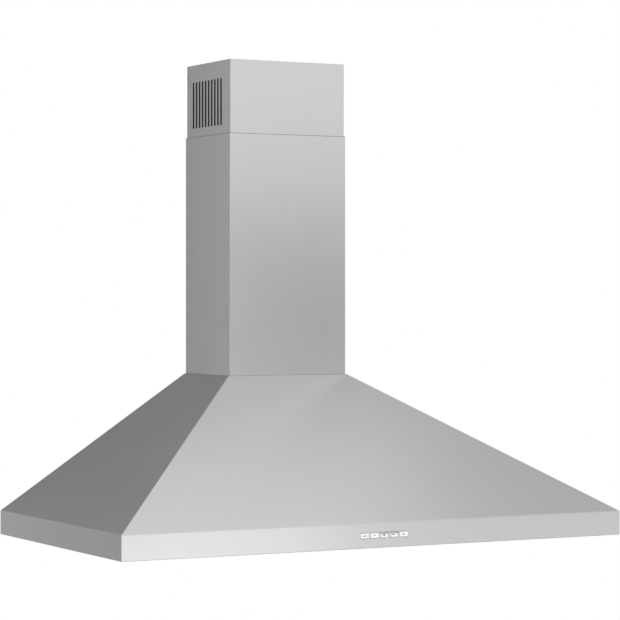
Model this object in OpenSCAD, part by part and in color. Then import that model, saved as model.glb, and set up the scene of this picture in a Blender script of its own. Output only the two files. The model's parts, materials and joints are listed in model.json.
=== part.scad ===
// Wall-mounted chimney range hood with a pyramid canopy, in millimetres.
// X runs to the viewer's right, Y into the wall and Z up.
// The origin is on the wall plane, at the middle of the canopy's bottom edge.

/* [Canopy] */
// Width of the canopy
canopy_w = 914; // [880:2:1100]
// Depth of the canopy out from the wall
canopy_d = 501; // [480:1:560]
// Height of the upright skirt
skirt_h = 40; // [38:1:60]
// Height of the pyramid above the skirt
pyramid_h = 226; // [215:1:300]
// Thickness of the stainless sheet
sheet_t = 1; // [0.8:0.1:1.2]
// Width of the flanges folded in at the bottom and the back
flange_w = 14; // [13:1:18]
// How far the canopy's top stands out past each side of the chimney
side_ledge = 2.5; // [1:0.5:8]
// How far the canopy's top stands out past the chimney's front
front_ledge = 0.5; // [0.5:0.5:8]

/* [Chimney] */
// Width of the lower chimney cover
chimney_w = 223; // [215:1:300]
// Depth of the lower chimney cover
chimney_d = 173; // [172:1:240]
// Height of the lower cover
lower_h = 411; // [330:1:600]
// Full height of the upper cover
upper_h = 400; // [300:1:500]
// How much of the upper cover shows above the lower one
upper_show = 125; // [120:1:200]
// Clearance between the two covers
cover_gap = 0.6; // [0.4:0.1:1]
// Width of the covers' flanges along the wall
cover_flange_w = 12; // [8:1:16]
// Number of vent slots on each side of the upper cover
slot_count = 10; // [4:1:11]
// Width of a vent slot
slot_w = 5; // [3:0.5:6]
// Length of a vent slot
slot_l = 80; // [40:1:85]
// Distance from one vent slot to the next
slot_pitch = 12; // [9:0.5:13]
// Distance from the upper cover's top edge down to the slots
slot_drop = 30; // [28:1:34]
// How far the slots' middle lies towards the wall from the cover's middle
slot_shift = 4.5; // [0:0.5:8]

/* [Underside] */
// Height of the liner's underside above the canopy's bottom edge
liner_z = 10; // [9:0.5:12]
// Thickness of the liner
liner_t = 1; // [0.8:0.1:1.2]
// Distance of the liner's wall in from the canopy's outer face
liner_inset = 12; // [11:0.5:12.5]
// Distance of the outer filters' openings in from the canopy's sides
filter_side = 45.5; // [32:0.5:60]
// Distance of the filters behind the canopy's front
filter_front_in = 103; // [99:1:130]
// Thickness of a filter
filter_t = 12; // [12:0.5:14]
// Gap round a filter in its opening
filter_gap = 1.5; // [1:0.1:2]
// Width of the liner's bars between the filters
bar_w = 14; // [10:1:18]
// Distance from the wall to the filters' rear edge
filter_back = 98; // [90:1:104]
// Distance of the baffles from one another
baffle_pitch = 28; // [26:0.5:29]
// Width of one baffle
baffle_w = 20; // [18:0.5:21]
// Travel of a filter latch
latch_travel = 5; // [4:0.5:6]
// Distance of each lamp in from the canopy's side
lamp_side = 157; // [100:1:200]
// Distance of the lamps behind the canopy's front
lamp_front = 56; // [54:1:58]
// Radius of a lamp's glass
lens_r = 30.9; // [24:0.1:32]

/* [Controls] */
// Distance of the buttons from one another
button_pitch = 18; // [17.5:0.5:22]
// Width of a button's opening in the skirt
button_open_w = 16.4; // [14:0.1:17]
// Height of a button's opening in the skirt
button_open_h = 10.5; // [9:0.1:12]
// Gap between a button and its opening
button_gap = 0.2; // [0.15:0.05:0.4]
// Travel of a button
button_travel = 3; // [2:0.5:3]
// Width of a button's white face
face_w = 14.2; // [10:0.1:14.6]
// Height of a button's white face
face_h = 7; // [5:0.1:8]

/* [Blower] */
// Radius of the blower wheel
wheel_r = 65; // [62:1:66]
// Width of the blower wheel
wheel_w = 90; // [80:1:92]
// Smallest gap between the wheel and its housing
wheel_gap = 6; // [5:0.5:7]
// How much the scroll opens with each quarter turn
scroll_step = 9; // [8:0.5:9.5]
// Distance of the wheel's axle below the canopy's top
blower_drop = 100; // [96:1:104]
// Thickness of the blower's sheet
blower_t = 1; // [0.8:0.1:1.2]
// Number of blades on the wheel
blade_count = 32; // [20:1:36]
// Radius of the motor
motor_r = 42; // [36:1:43]
// Length of the motor
motor_l = 66; // [60:1:72]
// Radius of the motor shaft
shaft_r = 4; // [3:0.5:5]

/* [Duct and wall] */
// Outer radius of the duct collar
collar_r = 74.6; // [73:0.1:76]
// Height of the duct collar
collar_h = 50; // [40:1:60]
// Thickness of the duct collar
collar_t = 0.8; // [0.6:0.1:1]
// Radius of a damper pin
pin_r = 1.5; // [1:0.1:1.8]
// Radius of the fixing holes in the back panel
fix_r = 3; // [2:0.1:4]
// Distance between the fixing holes, left to right
fix_w = 380; // [360:1:420]
// Distance between the fixing holes, up and down
fix_h = 120; // [90:1:125]
// Radius of the power supply's knockout hole
knockout_r = 11.1; // [9:0.1:14]

/* [Hidden] */
$fn = 48;

// Overrun of the cuts, and the clearances that repeat
cut = 0.5;
seat_gap = 0.3;
run_gap = 0.05;
hole_gap = 0.15;

// Canopy
canopy_h = skirt_h + pyramid_h;
top_w = chimney_w + 2 * side_ledge;
top_d = chimney_d + front_ledge;
side_run = (canopy_w - top_w) / 2;
front_run = canopy_d - top_d;
side_a = atan2(pyramid_h, side_run);
front_a = atan2(pyramid_h, front_run);
duct_y = -chimney_d / 2;

// Back panel and what it carries
panel_t = 1;
panel_gap = 1;
panel_y = -sheet_t - panel_t;
key_x = 150;
key_drop = 66;
key_z = canopy_h - key_drop;
key_head_r = 6;
key_slot_r = 3;
key_slot_l = 12;
fix_drop = 216;
fix_z = canopy_h - fix_drop;
rivet_r = 1.6;
rivet_head_r = 3.2;
rivet_head_h = 1;
rivet_row_shares = [-0.88, -0.44, 0, 0.44, 0.88];
rivet_slope_shares = [0.25, 0.75];

// Top plate and collar
plate_t = 1.2;
plate_side = 9;
plate_edge = 3;
plate_z = canopy_h - sheet_t - plate_t;
collar_flange_w = 7.4;
collar_flange_t = 1;
hinge_rise = 15;
hinge_z = canopy_h + hinge_rise;
hinge_off = 4;
knuckle_r = 2.6;
knuckle_in = 5.2;
pin_short = 0.5;
flap_t = 0.8;
flap_gap = 1.3;
stop_w = 3.3;
stop_h = 1;

// Screws
screw_r = 1.45;
screw_head_r = 3;
screw_head_h = 2;
screw_top_share = 0.72;
recess_l = 3.2;
recess_w = 0.8;
recess_d = 0.8;
collar_screw_r = collar_r + collar_flange_w - screw_head_r;

// Liner
liner_wall_z = sheet_t;
filter_count = 3;
opening_w = (canopy_w - 2 * filter_side - (filter_count - 1) * bar_w) / filter_count;
opening_pitch = opening_w + bar_w;
filter_w = opening_w - 2 * filter_gap;
filter_front = canopy_d - filter_front_in;
filter_d = filter_front - filter_back;
lip_w = 8;
foot_w = 16;
foot_gap = 0.5;
foot_in = liner_inset + liner_t + foot_gap + screw_head_r;
foot_lamp = 100;
foot_side_shares = [0.25, 0.8];
lamp_x = canopy_w / 2 - lamp_side;

// Filters
frame_t = 1;
frame_w = 13;
front_bar_w = 28;
baffle_h = 5.5;
baffle_t = 0.8;
baffle_in = 10;
tab_w = 40;
tab_x = 80;
tab_t = 1;
bolt_w = 30;
bolt_t = 1.5;
bolt_reach = 5;
bolt_in = 7;
pull_w = 18;
pull_t = 2;
pull_z = 3.5;

// Lamps
lamp_y = -canopy_d + lamp_front;
lens_gap = 0.1;
barrel_in_r = lens_r + lens_gap;
barrel_t = 2.4;
barrel_out_r = barrel_in_r + barrel_t;
barrel_gap = 0.6;
lamp_hole_r = barrel_out_r + barrel_gap;
bezel_rim = 4;
bezel_r = lamp_hole_r + bezel_rim;
bezel_t = 1.6;
bezel_lip = 1.4;
bezel_lip_t = 1;
lens_t = 2;
barrel_h = 8;
snap_w = 1.4;
snap_t = 1.3;
module_t = 4;
module_h = 14;
module_share = 0.86;
fin_gap = 3;
fin_pitch = 8.5;
fin_count = 6;

// Controls
button_z = skirt_h / 2;
button_count = 5;
button_r = 1.2;
button_proud = 0.3;
cap_d = 5.5;
cap_w = button_open_w - 2 * button_gap;
cap_h = button_open_h - 2 * button_gap;
face_r = 0.8;
face_t = 0.6;
stem_w = 6;
stem_h = 4;
stem_l = 17;
block_off = 9.5;
block_side = 4;
block_w = button_pitch * button_count + 2 * block_side;
block_h = 16;
block_d = 28;
channel_d = 21;
bracket_side = 10;
bracket_plate_w = block_w + 2 * bracket_side;
bracket_plate_h = 27;
bracket_lift = 0.5;
bracket_base_z = liner_z + liner_t + bracket_lift;
window_in = 2;
shelf_z = button_z + block_h / 2;
shelf_screw_in = 6;
shelf_screw_x = block_w / 2 - shelf_screw_in;
shelf_screw_y = -canopy_d + sheet_t + block_off + block_d / 2;
shelf_screw_l = 6;

// Blower
first_r = wheel_r + wheel_gap + scroll_step / 2;
back_r = first_r + 2.5 * scroll_step;
outlet_d = back_r + scroll_step / 2;
housing_w = wheel_w + 2 * wheel_gap;
wheel_y = duct_y + outlet_d / 2 - back_r;
wheel_z = canopy_h - blower_drop;
neck_h = plate_z - wheel_z;
side_flange_w = 10;
side_screw_x = housing_w / 2 + side_flange_w / 2 + blower_t / 2;
side_screw_share = 0.3;
inlet_step = 9;
inlet_r = wheel_r - inlet_step;
blade_span = 13;
blade_in_r = wheel_r - blade_span;
blade_t = 0.8;
blade_a = 32;
blade_chord = wheel_r - blade_in_r - 2 * blade_t;
blade_mid_r = (wheel_r + blade_in_r) / 2;
ring_t = 1.5;
disc_t = 1.2;
disc_r = blade_mid_r - blade_chord / 2 * cos(blade_a) - seat_gap;
hub_r = 9;
hub_l = 16;
bell_w = 9;
bell_t = 1;
bead_r = 2.2;

// Motor, hung in the left inlet
motor_front = -14;
motor_rear = motor_front - motor_l;
motor_bell_l = 8;
motor_bell_share = 0.72;
lug_t = 2;
lug_in = 14;
lug_x = motor_rear + lug_in;
lug_reach = 10;
lug_r = motor_r + lug_reach;
lug_hole_out = 5.5;
lug_hole_r = motor_r + lug_hole_out;
lug_w = 12;
bush_t = 4;
bush_r = 4.2;
arm_t = 1.5;
arm_w = 12;
arm_out = 5.5;
arm_r = inlet_r + arm_out;
arm_x = lug_x - bush_t - arm_t;
ring_gap = 0.5;
ring_in_r = inlet_r + ring_gap;
ring_reach = 14;
ring_out_r = inlet_r + ring_reach;
shaft_front = 12;
shaft_rear = 4;
motor_screw_r = 2;

// Electrical pieces on the back panel
box_w = 80;
box_h = 90;
box_d = 42;
box_x = -120;
box_drop = 206;
box_z = canopy_h - box_drop;
box_t = 1;
box_screw_in = 8;
box_screw_x = box_w / 2 - box_screw_in;
boss_r = 3;
knockout_z = box_z + box_h / 2;
can_r = 15;
can_h = 55;
can_shift = 15;
can_gap = 1.5;
can_rise = 8;
can_x = box_x - can_shift;
can_y = panel_y - can_r - can_gap;
can_z = box_z + box_h + can_rise;
can_tab_w = 6;
can_tab_h = 7;
clip_t = 1.2;
clip_h = 14;
driver_w = 80;
driver_h = 24;
driver_d = 30;
driver_x = 120;
driver_drop = 176;
driver_z = canopy_h - driver_drop;
ear_w = 12;
ear_t = 3;
wire_r = 2.5;
branch_r = 2;
bend_r = 6;
wire_drop = 5;
wire_z = skirt_h - wire_drop;
wire_in = 9;
wire_y = panel_y - wire_in;
wire_x = canopy_w / 2 - sheet_t - wire_in;
lead_gap = 20;
lead_y = lamp_y + lead_gap;
lead_x = -30;
motor_lead_x = -100;
clip_wall = 1.6;
clip_r = wire_r + clip_wall;
clip_l = 8;
clip_shares = [0.55, 0.85];

// Chimney covers
cover_inset = sheet_t + cover_gap;
lower_top = canopy_h + lower_h;
upper_top = lower_top + upper_show;
upper_w = chimney_w - 2 * cover_inset;
upper_d = chimney_d - 2 * cover_inset;
slot_y = -chimney_d / 2 + slot_shift;
slot_r = 1;
tab_l = 20;
tab_d = 15;
tab_y_share = 0.27;
tab_screw_x = chimney_w / 2 - sheet_t - tab_d / 2;
bracket_t = 1.5;
bracket_drop = 7;
bracket_below = 2;
bracket_h = slot_drop + slot_l + bracket_below - bracket_drop;
bracket_gap = 4.5;
bracket_mid = chimney_w - 2 * cover_flange_w - 2 * bracket_gap;
bracket_ear = 22;
bracket_hole_r = 3;
bracket_hole_x = 60;
side_screw_y = -11;
side_screw_drop = 22;
side_hole_gap = 0.25;

// Colours
steel = [0.72, 0.72, 0.72];
galvanised = [0.6, 0.63, 0.65];
dark = [0.12, 0.12, 0.13];
white = [0.95, 0.95, 0.95];
grey = [0.45, 0.45, 0.47];

// A rectangle with round corners about the origin
module round_rect(w, h, r) {
    square([w - 2 * r, h], center = true);
    square([w, h - 2 * r], center = true);
    for (x = [-1, 1], y = [-1, 1])
        translate([x * (w / 2 - r), y * (h / 2 - r)])
            circle(r);
}

// A flat ring standing on the XY plane
module ring(outer, inner, h) {
    difference() {
        cylinder(h = h, r = outer);
        translate([0, 0, -cut])
            cylinder(h = h + 2 * cut, r = inner);
    }
}

// A pan-head screw: the head stands on the XY plane and the shank goes down
module screw(l, r = screw_r) {
    difference() {
        cylinder(h = screw_head_h, r1 = screw_head_r, r2 = screw_head_r * screw_top_share);
        for (a = [0, 90])
            rotate(a)
                translate([0, 0, screw_head_h])
                    cube([recess_l, recess_w, 2 * recess_d], center = true);
    }
    translate([0, 0, -l])
        cylinder(h = l + screw_head_h / 2, r = r);
}

// One bend of a cable at the corner p, from the direction a into the direction b
module wire_bend(p, a, b) {
    c = p - bend_r * a + bend_r * b;
    n = cross(a, b);
    multmatrix([
        [-b[0], a[0], n[0], c[0]],
        [-b[1], a[1], n[1], c[1]],
        [-b[2], a[2], n[2], c[2]],
        [0, 0, 0, 1]
    ])
        rotate_extrude(angle = 90)
            translate([bend_r, 0])
                circle(wire_r);
}

// A round cable through the listed points, with a square bend at each one between its ends
module wire(points) {
    last = len(points) - 1;
    dirs = [for (i = [0 : last - 1]) (points[i + 1] - points[i]) / norm(points[i + 1] - points[i])];
    for (i = [0 : last - 1]) {
        start = points[i] + (i > 0 ? bend_r : 0) * dirs[i];
        end = points[i + 1] - (i < last - 1 ? bend_r : 0) * dirs[i];
        translate(start)
            rotate([0, acos(dirs[i][2]), atan2(dirs[i][1], dirs[i][0])])
                cylinder(h = norm(end - start), r = wire_r);
        if (i > 0)
            wire_bend(points[i], dirs[i - 1], dirs[i]);
    }
}

// Turns a shape drawn in XY and raised along Z so that it lies in YZ and runs along X
module along_x() {
    rotate([90, 0, 90])
        children();
}

// Turns a shape drawn in XY so that it stands in XZ and runs from the front towards the wall
module facing_wall() {
    rotate([90, 0, 0])
        mirror([0, 0, 1])
            children();
}

// Canopy outline seen from the front, drawn in by s all round but from height z0
function front_outline(s, z0) = [
    [-canopy_w / 2 + s, z0],
    [canopy_w / 2 - s, z0],
    [canopy_w / 2 - s, skirt_h - s * tan((90 - side_a) / 2)],
    [top_w / 2 - s * tan(side_a / 2), canopy_h - s],
    [-top_w / 2 + s * tan(side_a / 2), canopy_h - s],
    [-canopy_w / 2 + s, skirt_h - s * tan((90 - side_a) / 2)]
];

// Canopy outline seen from the side, drawn in by s at the front and the top
function side_outline(s, z0, back) = [
    [-back, z0],
    [-canopy_d + s, z0],
    [-canopy_d + s, skirt_h - s * tan((90 - front_a) / 2)],
    [-top_d + s * tan(front_a / 2), canopy_h - s],
    [-back, canopy_h - s]
];

module canopy_form(s, z0, back) {
    intersection() {
        rotate([90, 0, 0])
            linear_extrude(canopy_d)
                polygon(front_outline(s, z0));
        along_x()
            linear_extrude(canopy_w, center = true)
                polygon(side_outline(s, z0, back));
    }
}

// Places of the rivets round the back, as x and z
function slope_point(share, side) = [
    side * (canopy_w / 2 - side_run * share - flange_w / 2 * sin(side_a)),
    skirt_h + pyramid_h * share - flange_w / 2 * cos(side_a)
];
rivet_places = concat(
    [for (share = rivet_row_shares) [share * canopy_w / 2, flange_w / 2 + sheet_t]],
    [for (share = rivet_slope_shares, side = [-1, 1]) slope_point(share, side)]
);

// Places of the buttons, and how far each one stands pushed in at rest
function button_x(i) = (i - (button_count - 1) / 2) * button_pitch;
button_rest = [0, 0, button_travel, button_travel, 0];

// Places of the four screws through the collar's flange
collar_screws = [for (a = [45, 135, 225, 315]) [collar_screw_r * cos(a), duct_y + collar_screw_r * sin(a)]];

// Places of the screws through the lower cover's tabs
tab_screws = [for (x = [-1, 1], y = [-1, 1]) [x * tab_screw_x, duct_y + y * tab_y_share * chimney_d]];

// Places of the screws that hold the liner, as x and y
foot_front_y = -canopy_d + foot_in;
foot_side_x = canopy_w / 2 - foot_in;
foot_places = concat(
    [for (x = [-1, 1]) [x * (lamp_x - foot_lamp), foot_front_y, 0]],
    [for (x = [-1, 1], share = foot_side_shares) [x * foot_side_x, -canopy_d * share, -90 * x]]
);

module canopy_shell() {
    color(steel)
        difference() {
            canopy_form(0, 0, 0);
            canopy_form(sheet_t, sheet_t, sheet_t);
            translate([0, cut, 0])
                rotate([90, 0, 0])
                    linear_extrude(sheet_t + 2 * cut)
                        polygon(front_outline(flange_w, flange_w));
            translate([flange_w - canopy_w / 2, flange_w - canopy_d, -cut])
                cube([canopy_w - 2 * flange_w, canopy_d - 2 * flange_w, sheet_t + 2 * cut]);
            translate([0, duct_y, canopy_h - sheet_t - cut])
                cylinder(h = sheet_t + 2 * cut, r = collar_r - collar_t);
            for (i = [0 : button_count - 1])
                translate([button_x(i), -canopy_d - cut, button_z])
                    facing_wall()
                        linear_extrude(sheet_t + 2 * cut)
                            round_rect(button_open_w, button_open_h, button_r + button_gap);
            for (p = rivet_places)
                translate([p[0], cut, p[1]])
                    rotate([90, 0, 0])
                        cylinder(h = sheet_t + 2 * cut, r = rivet_r + hole_gap);
            for (p = concat(collar_screws, tab_screws))
                translate([p[0], p[1], canopy_h - sheet_t - cut])
                    cylinder(h = sheet_t + 2 * cut, r = screw_r + hole_gap);
        }
}

module keyhole() {
    circle(key_head_r);
    translate([-key_slot_r, 0])
        square([2 * key_slot_r, key_slot_l]);
    translate([0, key_slot_l])
        circle(key_slot_r);
}

module back_panel() {
    color(galvanised)
        translate([0, -sheet_t, 0])
            rotate([90, 0, 0])
                difference() {
                    linear_extrude(panel_t)
                        difference() {
                            polygon(front_outline(sheet_t + panel_gap, sheet_t + panel_gap));
                            translate([-canopy_w / 2, plate_z - panel_gap])
                                square([canopy_w, canopy_h]);
                        }
                    translate([0, 0, -cut])
                        linear_extrude(panel_t + 2 * cut) {
                            for (x = [-1, 1], z = [0, 1])
                                translate([x * fix_w / 2, fix_z + z * fix_h])
                                    circle(fix_r);
                            for (x = [-1, 1])
                                translate([x * key_x, key_z])
                                    keyhole();
                            translate([box_x, knockout_z])
                                circle(knockout_r);
                            for (p = rivet_places)
                                translate([p[0], p[1]])
                                    circle(rivet_r + hole_gap);
                        }
                }
}

module panel_rivets() {
    rivet_l = sheet_t + panel_t - hole_gap;
    color(grey)
        for (p = rivet_places)
            translate([p[0], panel_y, p[1]])
                rotate([90, 0, 0]) {
                    cylinder(h = rivet_head_h, r1 = rivet_head_r, r2 = rivet_head_r * screw_top_share);
                    translate([0, 0, -rivet_l])
                        cylinder(h = rivet_l + rivet_head_h / 2, r = rivet_r);
                }
}

module top_plate() {
    color(galvanised)
        difference() {
            translate([plate_side - top_w / 2, plate_edge - top_d, plate_z])
                cube([top_w - 2 * plate_side, top_d - 2 * plate_edge, plate_t]);
            translate([-housing_w / 2, duct_y - outlet_d / 2, plate_z - cut])
                cube([housing_w, outlet_d, plate_t + 2 * cut]);
            for (p = concat(collar_screws, tab_screws))
                translate([p[0], p[1], plate_z - cut])
                    cylinder(h = plate_t + 2 * cut, r = screw_r + hole_gap);
            for (x = [-1, 1], y = [-1, 1])
                translate([x * side_screw_x, duct_y + y * side_screw_share * outlet_d, plate_z - cut])
                    cylinder(h = plate_t + 2 * cut, r = screw_r + hole_gap);
        }
}

module liner_panel() {
    outer = [canopy_w - 2 * liner_inset, canopy_d - 2 * liner_inset];
    corner = [liner_inset - canopy_w / 2, liner_inset - canopy_d];
    color(steel)
        difference() {
            translate([corner[0], corner[1], liner_wall_z])
                cube([outer[0], outer[1], liner_z + liner_t - liner_wall_z]);
            translate([corner[0] + liner_t, corner[1] + liner_t, liner_wall_z - cut])
                cube([outer[0] - 2 * liner_t, outer[1] - 2 * liner_t, liner_z - liner_wall_z + cut]);
            for (i = [-1, 0, 1])
                translate([i * opening_pitch - opening_w / 2, -filter_front - filter_gap, liner_z - cut])
                    cube([opening_w, filter_d + 2 * filter_gap, liner_t + 2 * cut]);
            for (x = [-1, 1])
                translate([x * lamp_x, lamp_y, liner_z - cut])
                    cylinder(h = liner_t + 2 * cut, r = lamp_hole_r);
            for (p = foot_places)
                translate([p[0], p[1], liner_z - cut])
                    cylinder(h = liner_t + 2 * cut, r = screw_r + hole_gap);
        }
}

// An angle bracket: its foot lies on the liner with its hole over the origin, and its upright
// stands against the skirt at -Y
module liner_foot() {
    foot_back = foot_in - sheet_t;
    difference() {
        translate([-foot_w / 2, -foot_back, 0])
            cube([foot_w, foot_back + foot_w / 2, sheet_t]);
        translate([0, 0, -cut])
            cylinder(h = sheet_t + 2 * cut, r = screw_r + hole_gap);
    }
    translate([-foot_w / 2, -foot_back, 0])
        cube([foot_w, sheet_t, foot_w]);
}

module liner_brackets() {
    color(galvanised)
        for (p = foot_places)
            translate([p[0], p[1], liner_z + liner_t])
                rotate(-p[2])
                    liner_foot();
}

// One filter's frame, a ring of channel section open to the inside
module filter_frame(i) {
    low_x = -filter_w / 2;
    low_y = -filter_front;
    color(steel)
        translate([i * opening_pitch, 0, liner_z])
            difference() {
                union() {
                    translate([low_x, low_y, 0])
                        cube([filter_w, filter_d, filter_t]);
                    for (x = [-1, 1])
                        translate([x * tab_x - tab_w / 2, -filter_back - frame_t, liner_t + seat_gap])
                            cube([tab_w, lip_w + frame_t, tab_t]);
                }
                translate([low_x + frame_t, low_y + frame_t, frame_t])
                    cube([filter_w - 2 * frame_t, filter_d - 2 * frame_t, filter_t - 2 * frame_t]);
                translate([low_x + frame_w, low_y + front_bar_w, -cut])
                    cube([filter_w - 2 * frame_w, filter_d - frame_w - front_bar_w, filter_t + 2 * cut]);
                translate([-bolt_w / 2 - seat_gap, low_y - cut, liner_t])
                    cube([bolt_w + 2 * seat_gap, frame_t + 2 * cut, bolt_t + 2 * seat_gap]);
                translate([-pull_w / 2 - seat_gap, low_y + bolt_in - pull_t - seat_gap, -cut])
                    cube([pull_w + 2 * seat_gap, pull_t + latch_travel + 2 * seat_gap, frame_t + 2 * cut]);
            }
}

// One baffle, a channel open to the top
module baffle(l) {
    rotate([90, 0, 0])
        linear_extrude(l)
            difference() {
                translate([-baffle_w / 2, 0])
                    square([baffle_w, baffle_h]);
                translate([baffle_t - baffle_w / 2, baffle_t])
                    square([baffle_w - 2 * baffle_t, baffle_h]);
            }
}

module filter_baffles(i) {
    back_y = -filter_back - frame_t - seat_gap;
    l = filter_d - front_bar_w - frame_t - seat_gap + baffle_in;
    low_count = floor((filter_w - 2 * frame_t - baffle_w) / baffle_pitch / 2);
    color(steel)
        translate([i * opening_pitch, back_y, liner_z])
            union() {
                for (k = [-low_count : low_count])
                    translate([k * baffle_pitch, 0, frame_t])
                        baffle(l);
                for (k = [-low_count : low_count - 1])
                    translate([(k + 0.5) * baffle_pitch, 0, filter_t - frame_t])
                        mirror([0, 0, 1])
                            baffle(l);
            }
}

// A filter's sliding bolt, with the pull that hangs below the frame
module filter_latch(i) {
    front_y = -filter_front - bolt_reach;
    color(grey)
        translate([i * opening_pitch, 0, 0]) {
            translate([-bolt_w / 2, front_y, liner_z + liner_t + seat_gap])
                cube([bolt_w, bolt_reach + bolt_in, bolt_t]);
            translate([-pull_w / 2, -filter_front + bolt_in - pull_t, pull_z])
                cube([pull_w, pull_t, liner_z + liner_t + seat_gap + bolt_t / 2 - pull_z]);
        }
}

module lamp_bezel(side) {
    color(steel)
        translate([side * lamp_x, lamp_y, liner_z])
            difference() {
                union() {
                    translate([0, 0, -bezel_t])
                        cylinder(h = bezel_t, r = bezel_r);
                    translate([0, 0, -bezel_t / 2])
                        cylinder(h = barrel_h + bezel_t / 2, r = barrel_out_r);
                    translate([0, 0, liner_t + seat_gap])
                        cylinder(h = snap_t, r = barrel_out_r + snap_w);
                }
                translate([0, 0, -bezel_t - cut])
                    cylinder(h = barrel_h + bezel_t + 2 * cut, r = lens_r - bezel_lip);
                translate([0, 0, bezel_lip_t - bezel_t])
                    cylinder(h = barrel_h + bezel_t + cut, r = barrel_in_r);
            }
}

module lamp_lens(side) {
    color(white)
        translate([side * lamp_x, lamp_y, liner_z + bezel_lip_t - bezel_t])
            cylinder(h = lens_t, r = lens_r);
}

module lamp_module(side) {
    color(grey)
        translate([side * lamp_x, lamp_y, liner_z + bezel_lip_t - bezel_t + lens_t])
            difference() {
                union() {
                    cylinder(h = module_t, r = lens_r - seat_gap);
                    cylinder(h = module_h, r = lens_r * module_share);
                }
                for (k = [0 : fin_count - 1])
                    translate([(k - (fin_count - 1) / 2) * fin_pitch, 0, module_h])
                        cube([fin_gap, 3 * lens_r, 2 * (module_h - module_t)], center = true);
            }
}

module switch_bracket() {
    plate_y = -canopy_d + sheet_t;
    window_w = block_w - 2 * window_in;
    color(galvanised)
        difference() {
            union() {
                translate([-bracket_plate_w / 2, plate_y, bracket_base_z])
                    cube([bracket_plate_w, sheet_t, bracket_plate_h]);
                translate([-block_w / 2, plate_y, shelf_z])
                    cube([block_w, block_off + block_d, sheet_t]);
            }
            translate([-window_w / 2, plate_y - cut, button_z - cap_h / 2 - 2 * button_gap])
                cube([window_w, sheet_t + 2 * cut, cap_h + 4 * button_gap]);
            for (x = [-1, 1])
                translate([x * shelf_screw_x, shelf_screw_y, shelf_z - cut])
                    cylinder(h = sheet_t + 2 * cut, r = screw_r + hole_gap);
        }
}

module switch_block() {
    front_y = -canopy_d + sheet_t + block_off;
    color(dark)
        difference() {
            translate([-block_w / 2, front_y, button_z - block_h / 2])
                cube([block_w, block_d, block_h]);
            for (i = [0 : button_count - 1])
                translate([button_x(i) - stem_w / 2 - hole_gap, front_y - cut, button_z - stem_h / 2 - hole_gap])
                    cube([stem_w + 2 * hole_gap, channel_d + cut, stem_h + 2 * hole_gap]);
            for (x = [-1, 1])
                translate([x * shelf_screw_x, shelf_screw_y, shelf_z - shelf_screw_l])
                    cylinder(h = shelf_screw_l + cut, r = screw_r + run_gap);
        }
}

// One button's cap and stem, at its place for rest
module button(i) {
    front_y = -canopy_d - button_proud + button_rest[i];
    color(steel)
        translate([button_x(i), front_y, button_z])
            difference() {
                union() {
                    facing_wall()
                        linear_extrude(cap_d)
                            round_rect(cap_w, cap_h, button_r);
                    translate([-stem_w / 2, cap_d / 2, -stem_h / 2])
                        cube([stem_w, cap_d / 2 + stem_l, stem_h]);
                }
                translate([0, -cut, 0])
                    facing_wall()
                        linear_extrude(face_t + cut)
                            round_rect(face_w, face_h, face_r);
            }
}

module button_face(i) {
    front_y = -canopy_d - button_proud + button_rest[i];
    color(white)
        translate([button_x(i), front_y, button_z])
            facing_wall()
                linear_extrude(face_t)
                    round_rect(face_w, face_h, face_r);
}

// The scroll's outline about the wheel's axle, grown by t, with y as its first axis
module scroll_form(t) {
    half = scroll_step / 2;
    reach = 2 * back_r;
    intersection() {
        translate([-half, -half])
            circle(first_r + t);
        translate([-half - reach, -half])
            square(reach);
    }
    intersection() {
        translate([half, -half])
            circle(first_r + scroll_step + t);
        translate([half - reach, -half - reach])
            square(reach);
    }
    intersection() {
        translate([half, half])
            circle(first_r + 2 * scroll_step + t);
        translate([half, half - reach])
            square(reach);
    }
    translate([-half - t, -half])
        square([outlet_d + 2 * t, neck_h + half]);
}

module scroll_wrap() {
    color(galvanised)
        translate([0, wheel_y, wheel_z])
            along_x()
                linear_extrude(housing_w, center = true)
                    difference() {
                        scroll_form(blower_t);
                        scroll_form(0);
                        translate([-scroll_step / 2, 0])
                            square([outlet_d, 2 * neck_h]);
                    }
}

module scroll_side(side) {
    low_x = side > 0 ? housing_w / 2 : -housing_w / 2 - blower_t;
    flange_x = side > 0 ? housing_w / 2 : -housing_w / 2 - blower_t - side_flange_w;
    color(galvanised)
        difference() {
            union() {
                translate([low_x, wheel_y, wheel_z])
                    along_x()
                        linear_extrude(blower_t)
                            scroll_form(blower_t);
                translate([flange_x, duct_y - outlet_d / 2, plate_z - blower_t])
                    cube([side_flange_w + blower_t, outlet_d, blower_t]);
            }
            translate([low_x - cut, wheel_y, wheel_z])
                along_x()
                    cylinder(h = blower_t + 2 * cut, r = inlet_r);
            for (y = [-1, 1])
                translate([side * side_screw_x, duct_y + y * side_screw_share * outlet_d, plate_z - blower_t - cut])
                    cylinder(h = blower_t + 2 * cut, r = screw_r + hole_gap);
        }
}

module inlet_ring() {
    color(galvanised)
        translate([housing_w / 2 + blower_t, wheel_y, wheel_z])
            along_x()
                difference() {
                    union() {
                        cylinder(h = bell_t, r = inlet_r + bell_w);
                        translate([0, 0, bead_r])
                            rotate_extrude()
                                translate([inlet_r + bead_r, 0])
                                    circle(bead_r);
                    }
                    translate([0, 0, -cut])
                        cylinder(h = bell_t + bead_r + 2 * cut, r = inlet_r);
                }
}

// Runs its child at the three arm angles round the motor
module three_arms() {
    for (a = [90, 210, 330])
        rotate(a)
            children();
}

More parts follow.
